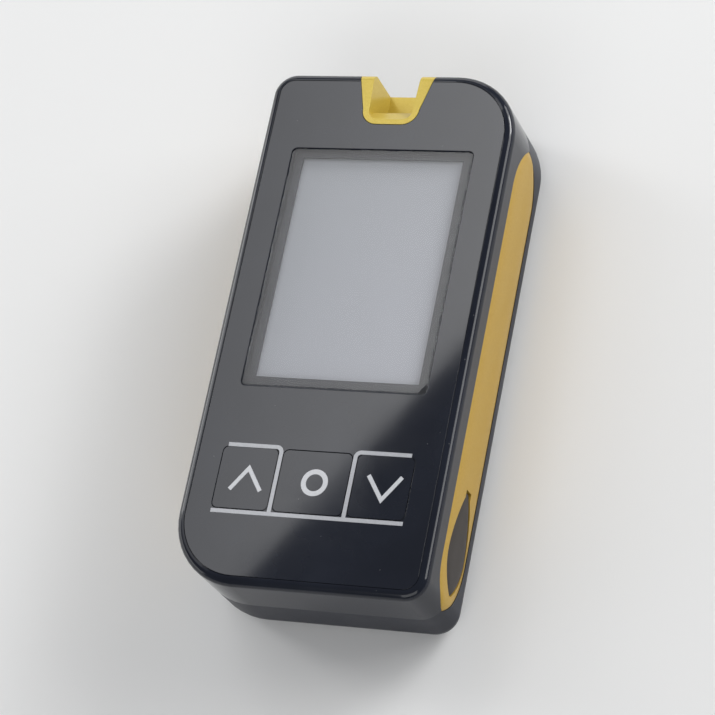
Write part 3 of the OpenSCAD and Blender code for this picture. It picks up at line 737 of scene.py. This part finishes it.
def port_lead_in():
    """What slopes away from the thin rim of the U down to the notch's inner end."""
    rim, slope = 0.8, 0.9
    half, corner = 3.5, 1.6
    slope_start, u_depth = 5.75, 8.6
    notch_y, rim_y = half_l - slope_start, half_l - u_depth + rim
    outline = ([(half, notch_y)] + arc_points(half - corner, rim_y + corner, corner, 0, -90, 8)
               + arc_points(corner - half, rim_y + corner, corner, -90, -180, 8) + [(-half, notch_y)])
    return prism_cutter("Port_lead_in", [(x, y, face_z - slope * (y - rim_y)) for x, y in outline],
                        [(x, y, face_z + 1) for x, y in outline])


# ---- Printing ----

def stroke_outline(points, width):
    """The two sides of a mitred stroke along points in the plane, as one closed outline."""
    sides = ([], [])
    for i, p in enumerate(points):
        before = (Vector(p) - Vector(points[i - 1])).normalized() if i else None
        after = (Vector(points[i + 1]) - Vector(p)).normalized() if i + 1 < len(points) else None
        along = ((before or after) + (after or before)).normalized()
        across = Vector((-along.y, along.x))
        edge = Vector((-(before or after).y, (before or after).x))
        half = width / 2 / max(across.dot(edge), 0.3)
        sides[0].append(Vector(p) + across * half)
        sides[1].append(Vector(p) - across * half)
    return sides[0] + sides[1][::-1]


def ink_layer(bm, outline):
    """A thin flat layer in the face, from a closed outline in millimetres."""
    top, bottom = ([bm.verts.new((p[0] * MM, p[1] * MM, z * MM)) for p in outline]
                   for z in (face_z + ink_proud, face_z - ink_sunk))
    bm.faces.new(top)
    bm.faces.new(bottom[::-1])
    for i in range(len(top)):
        j = (i + 1) % len(top)
        bm.faces.new((bottom[i], bottom[j], top[j], top[i]))


def printed(name, build, body, slot, finish):
    finish_piece(new_object(name, mesh_from(name, build)), body, slot, finish=finish)


def printed_lines():
    """The lines round the keys: a baseline, and two corners that turn down between the keys."""
    width, top_y, base_y, turn = 0.6, -20.05, -30.3, 0.8
    base_end, top_end, divider_x = 14.8, 14.2, 5.75

    def build(bm):
        ink_layer(bm, stroke_outline([(-base_end, base_y), (base_end, base_y)], width))
        corner = arc_points(-divider_x - turn, top_y - turn, turn, 90, 0, 8)
        path = [(-top_end, top_y)] + corner + [(-divider_x, base_y + width / 2)]
        for side in (-1, 1):
            ink_layer(bm, stroke_outline([(-side * x, y) for x, y in path], width))
    printed("Key_lines", build, "housing", "face_gloss", "ink")


def key_mark(name, body, x, half, foot, tip):
    """A printed chevron on a key: its middle, half width, and the heights of its feet and its tip."""
    line = 0.62

    def build(bm):
        ink_layer(bm, stroke_outline([(x - half, foot), (x, tip), (x + half, foot)], line))
    printed(name, build, body, "key_gloss", "ink_bright")


def ring_mark():
    """The printed ring on the middle key."""
    x, y, outer, inner, steps = 0.3, -25.1, 2.05, 1.3, 48
    low, high = face_z - ink_sunk, face_z + ink_proud

    def build(bm):
        rows = [[bm.verts.new((px * MM, py * MM, z * MM))
                 for px, py in arc_points(x, y, r, 0, 360, steps)[:-1]]
                for r, z in ((outer, low), (outer, high), (inner, high), (inner, low))]
        for a, b in zip(rows, rows[1:] + rows[:1]):
            for i in range(steps):
                j = (i + 1) % steps
                bm.faces.new((a[i], a[j], b[j], b[i]))
    printed("Ring_mark", build, "main_button", "key_gloss", "ink_bright")


# ---- Repeats ----

def rib_row_tree():
    """Geometry Nodes: a row of round ribs of one size, at an even pitch."""
    tree, come, go = new_group("Rib Row", "GeometryNodeTree",
                               [("Count", "Int", 4), ("Pitch", "Vector", (0, 0.001, 0)),
                                ("Start", "Vector", (0, 0, 0)), ("Rib End", "Vector", (0, 0, 0.002)),
                                ("Rib Radius", "Float", 0.0002), ("Finish", "Material", None)],
                               [("Geometry", "Geometry")])
    line = put(tree, "GeometryNodeMeshLine", {"Count": come["Count"], "Start Location": come["Start"],
                                              "Offset": come["Pitch"]}).outputs[0]
    path = put(tree, "GeometryNodeCurvePrimitiveLine", {"End": come["Rib End"]}).outputs[0]
    profile = put(tree, "GeometryNodeCurvePrimitiveCircle",
                  {"Resolution": 12, "Radius": come["Rib Radius"]}).outputs[0]
    rib = put(tree, "GeometryNodeCurveToMesh",
              {"Curve": path, "Profile Curve": profile, "Fill Caps": True}).outputs[0]
    placed = put(tree, "GeometryNodeInstanceOnPoints", {"Points": line, "Instance": rib}).outputs[0]
    real = put(tree, "GeometryNodeRealizeInstances", {0: placed}).outputs[0]
    smooth = put(tree, "GeometryNodeSetShadeSmooth", {0: real}).outputs[0]
    done = put(tree, "GeometryNodeSetMaterial", {0: smooth, "Material": come["Finish"]})
    tree.links.new(done.outputs[0], go[0])
    return tree


def grown(name, tree, values, body, slot):
    """Runs a Geometry Nodes tree with its values and keeps the result as a plain mesh."""
    obj = new_object(name, bpy.data.meshes.new(name))
    modifier = obj.modifiers.new("Grow", "NODES")
    modifier.node_group = tree
    for item in tree.interface.items_tree:
        if item.in_out == "INPUT" and item.name in values:
            modifier[item.identifier] = values[item.name]
    depsgraph = bpy.context.evaluated_depsgraph_get()
    mesh = bpy.data.meshes.new_from_object(obj.evaluated_get(depsgraph))
    obj.modifiers.clear()
    obj.data = mesh
    mesh.name = name
    return finish_piece(obj, body, slot)


# ---- Dressing the meter ----

def dress_case():
    case_copy("front_cover", "Front_shell", "housing", "cover_black")
    case_copy("rear_cover", "Rear_shell", "housing", "rear_black")
    case_copy("battery_door", "Door", "door", "door_black")
    dressed_copy("face_panel", "Face", "housing", "face_gloss", edge=0.07)
    dress_stripes()
    dress_leaf()
    dressed_copy("strip_port", "Port_surround", "housing", "port_gold", edge=0.14, steps=3,
                 cutters=(port_lead_in(),))
    dressed_copy("display_window", "Window", "housing", "window_clear", edge=0.2)
    dressed_copy("display_frame", "Screen_frame", "housing", "frame_black", edge=0.12)
    dressed_copy("case_screws", "Screws", "housing", "screw_steel", edge=0.08)


def dress_keys():
    for key in ("up", "main", "down"):
        dressed_copy(key + "_key", key.capitalize() + "_cap", key + "_button", "key_gloss", edge=0.1)
    printed_lines()
    key_mark("Up_mark", "up_button", x=-10.2, half=2.4, foot=-26.95, tip=-23.55)
    key_mark("Down_mark", "down_button", x=10.85, half=2.55, foot=-23.4, tip=-27.0)
    ring_mark()


def dress_inside():
    """The CAD nodes whose shapes stay as they are get their finishes."""
    for slot, *nodes in (
            ("display_grey", "display_glass"), ("guide_white", "light_guide"),
            ("elastomer", "elastomer_strip"), ("board_green", "main_board"),
            ("chip_black", "board_chips"), ("dome_steel", "up_dome", "main_dome", "down_dome"),
            ("buzzer_black", "buzzer"), ("socket_ivory", "strip_socket"),
            ("contact_gold", "strip_contacts"), ("socket_steel", "data_socket"),
            ("cell_steel", "coin_cells"), ("contact_nickel", "cell_contacts", "cell_clips")):
        for node in nodes:
            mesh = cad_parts[node].data
            mesh.materials.clear()
            mesh.materials.append(FINISHES[slot])


def dress_repeats():
    """The contacts on the data socket's tongue."""
    first_x, first_y, above, length, radius, pitch = 13.4, -30.8, 0.3, 3.4, 0.09, 0.65
    grown("Socket_contacts", rib_row_tree(), {
        "Count": 5, "Pitch": (0, pitch * MM, 0),
        "Start": (first_x * MM, first_y * MM, (leaf_z + above) * MM),
        "Rib End": (length * MM, 0, 0), "Rib Radius": radius * MM,
        "Finish": FINISHES["contact_gold"]}, "housing", "contact_gold")


place_camera()
build_studio()
build_groups()
build_finishes()
dress_case()
dress_keys()
dress_inside()
dress_repeats()
